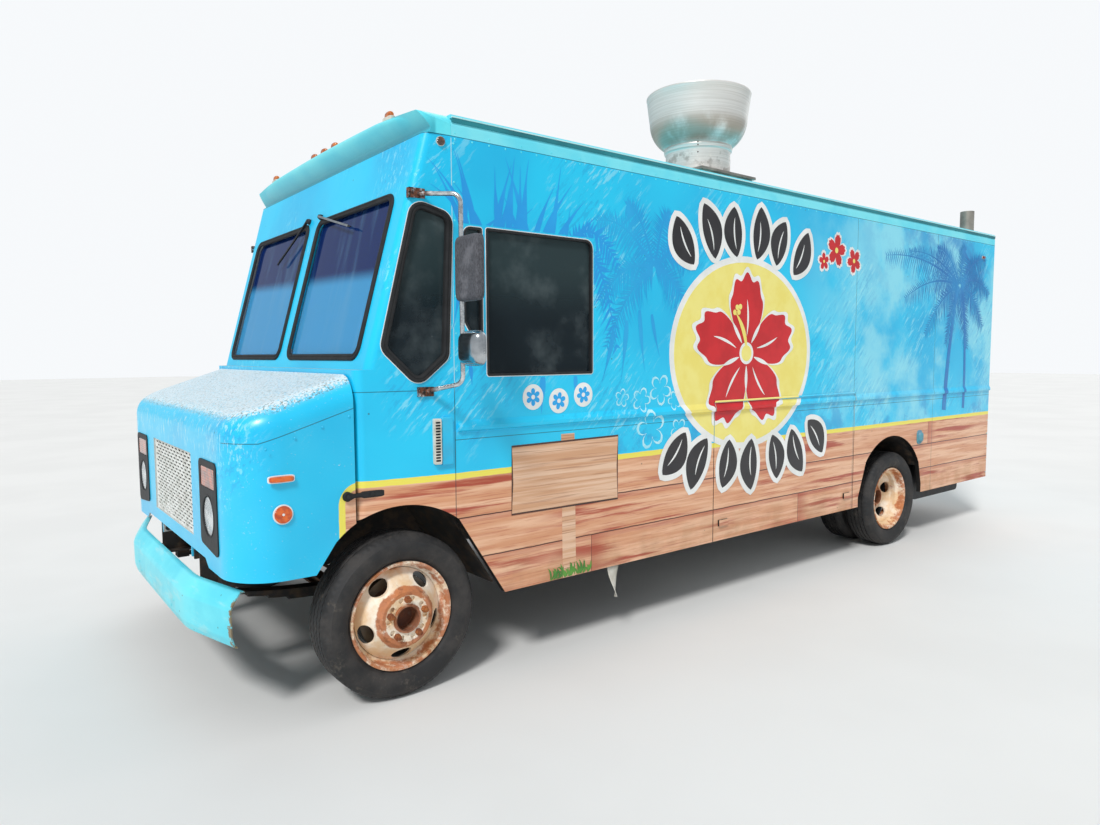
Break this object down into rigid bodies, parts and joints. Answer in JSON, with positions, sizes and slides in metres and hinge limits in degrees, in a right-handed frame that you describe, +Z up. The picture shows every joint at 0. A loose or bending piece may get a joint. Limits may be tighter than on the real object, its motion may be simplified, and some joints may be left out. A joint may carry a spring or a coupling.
{
  "type": "food truck",
  "caption": "Step van food truck with a tilting hood, dual rear wheels, serving hatch, sliding cab door, service locker and roof exhaust fan.",
  "frame": {"origin": "on the ground under the middle of the truck's length and width", "axes": "+X forward, +Y to the driver's side, +Z up"},
  "size_m": [7.202, 2.98, 3.4979],
  "materials": {
    "body_paint": "printed vinyl wrap over painted metal, satin",
    "cap_paint": "turquoise gloss paint",
    "bumper_paint": "turquoise paint, chipped",
    "hood_paint": "printed vinyl wrap, worn through on top",
    "roof_paint": "white coated aluminium, weathered",
    "grille_paint": "white enamel",
    "frame_black": "black chassis paint, dusty",
    "axle_iron": "rusty cast iron",
    "engine_iron": "greasy cast iron",
    "exhaust_steel": "heat-stained steel",
    "tank_black": "black moulded plastic",
    "floor_plate": "tread plate",
    "galley_steel": "brushed stainless steel",
    "bare_aluminium": "spun aluminium, stained",
    "glass": "tinted safety glass",
    "rubber": "black rubber",
    "tyre": "worn, dusty",
    "rim_paint": "cream paint with rust",
    "lamp_clear": "clear moulded lens",
    "lamp_amber": "amber lens",
    "lamp_red": "amber and red lenses",
    "black_plastic": "black textured plastic",
    "mirror_chrome": "chrome tube, pitted",
    "mirror_shell": "dull grey shells",
    "seat_vinyl": "dark vinyl"
  },
  "bodies": {
    "truck": {"chassis_frame": "frame_black", "axles": "axle_iron", "leaf_springs": "frame_black", "drive_shaft": "axle_iron", "engine_block": "engine_iron", "radiator": "frame_black", "underbody_tanks": "tank_black", "exhaust_pipe": "exhaust_steel", "floor": "floor_plate", "wheel_houses": "frame_black", "body_side_left": "body_paint", "body_side_right": "body_paint", "roof_panel": "roof_paint", "rear_wall": "body_paint", "cab_front_shell": "body_paint", "roof_cap": "cap_paint", "cab_glass": "glass", "window_seals": "rubber", "marker_lamps": "lamp_red", "locker_box": "galley_steel", "serving_shelf": "galley_steel", "front_bumper": "bumper_paint", "rear_step": "frame_black", "dashboard": "black_plastic", "engine_cover": "black_plastic", "driver_seat_frame": "frame_black", "seat_cushions": "seat_vinyl", "galley_counters": "galley_steel", "range_hood": "galley_steel", "fan_base": "bare_aluminium", "fan_bowl": "bare_aluminium", "roof_vents": "bare_aluminium", "mirror_arms": "mirror_chrome", "mirror_heads": "mirror_shell", "wipers": "black_plastic", "cab_door_track": "galley_steel"},
    "hood": {"hood_shell": "hood_paint", "grille": "grille_paint", "headlamp_bezels": "black_plastic", "headlamp_lenses": "lamp_clear", "hood_amber_lamps": "lamp_amber", "hood_latches": "rubber"},
    "knuckle_left": {"steering_knuckle_left": "axle_iron"},
    "knuckle_right": {"steering_knuckle_right": "axle_iron"},
    "wheel_front_left": {"front_tyre_left": "tyre", "front_rim_left": "rim_paint"},
    "wheel_front_right": {"front_tyre_right": "tyre", "front_rim_right": "rim_paint"},
    "wheels_rear_left": {"rear_tyres_left": "tyre", "rear_rims_left": "rim_paint"},
    "wheels_rear_right": {"rear_tyres_right": "tyre", "rear_rims_right": "rim_paint"},
    "tie_rod": {"tie_rod": "axle_iron"},
    "steering_wheel": {"steering_wheel": "black_plastic"},
    "cab_door": {"cab_door_panel": "body_paint", "cab_door_glass": "glass"},
    "rear_door": {"rear_door": "body_paint", "rear_door_glass": "glass"},
    "locker_door": {"locker_door": "body_paint"},
    "serving_hatch": {"serving_hatch_door": "body_paint"}
  },
  "joints": [
    {"name": "hood_tilt", "type": "hinge", "parent": "truck", "child": "hood", "pos_m": [3.468, 0, 0.65], "axis": [0, 1, 0], "range_deg": [0, 58]},
    {"name": "steer_left", "type": "hinge", "parent": "truck", "child": "knuckle_left", "pos_m": [2.763, 0.905, 0.39], "axis": [0, 0, 1], "range_deg": [-35, 35]},
    {"name": "steer_right", "type": "hinge", "parent": "truck", "child": "knuckle_right", "pos_m": [2.763, -0.905, 0.39], "axis": [0, 0, 1], "range_deg": [-35, 35]},
    {"name": "tie_rod_slide", "type": "slide", "parent": "truck", "child": "tie_rod", "axis": [0, -1, 0], "range_m": [-0.102, 0.102]},
    {"name": "steering_wheel_turn", "type": "hinge", "parent": "truck", "child": "steering_wheel", "pos_m": [2.568, 0.56, 1.5], "axis": [-0.5736, 0, 0.8192], "range_deg": [-562, 562]},
    {"name": "roll_front_left", "type": "hinge", "parent": "knuckle_left", "child": "wheel_front_left", "pos_m": [2.763, 1.047, 0.39], "axis": [0, 1, 0], "continuous": true},
    {"name": "roll_front_right", "type": "hinge", "parent": "knuckle_right", "child": "wheel_front_right", "pos_m": [2.763, -1.047, 0.39], "axis": [0, 1, 0], "continuous": true},
    {"name": "roll_rear_left", "type": "hinge", "parent": "truck", "child": "wheels_rear_left", "pos_m": [-1.758, 0.905, 0.39], "axis": [0, 1, 0], "continuous": true},
    {"name": "roll_rear_right", "type": "hinge", "parent": "truck", "child": "wheels_rear_right", "pos_m": [-1.758, -0.905, 0.39], "axis": [0, 1, 0], "continuous": true},
    {"name": "cab_door_slide", "type": "slide", "parent": "truck", "child": "cab_door", "axis": [-1, 0, 0], "range_m": [0, 0.77]},
    {"name": "rear_door_swing", "type": "hinge", "parent": "truck", "child": "rear_door", "pos_m": [-3.4883, -0.43, 1.6], "axis": [0, 0, 1], "range_deg": [0, 170]},
    {"name": "locker_door_lift", "type": "hinge", "parent": "truck", "child": "locker_door", "pos_m": [-0.235, 1.1873, 1.306], "axis": [1, 0, 0], "range_deg": [0, 95]},
    {"name": "serving_hatch_lift", "type": "hinge", "parent": "truck", "child": "serving_hatch", "pos_m": [-0.487, -1.1873, 2.33], "axis": [-1, 0, 0], "range_deg": [0, 95]}
  ],
  "couplings": [
    {"joint": "steer_right", "follows": "steer_left", "ratio": 1},
    {"joint": "tie_rod_slide", "follows": "steer_left", "m_per_rad": 0.165},
    {"joint": "steering_wheel_turn", "follows": "steer_left", "ratio": 16}
  ]
}
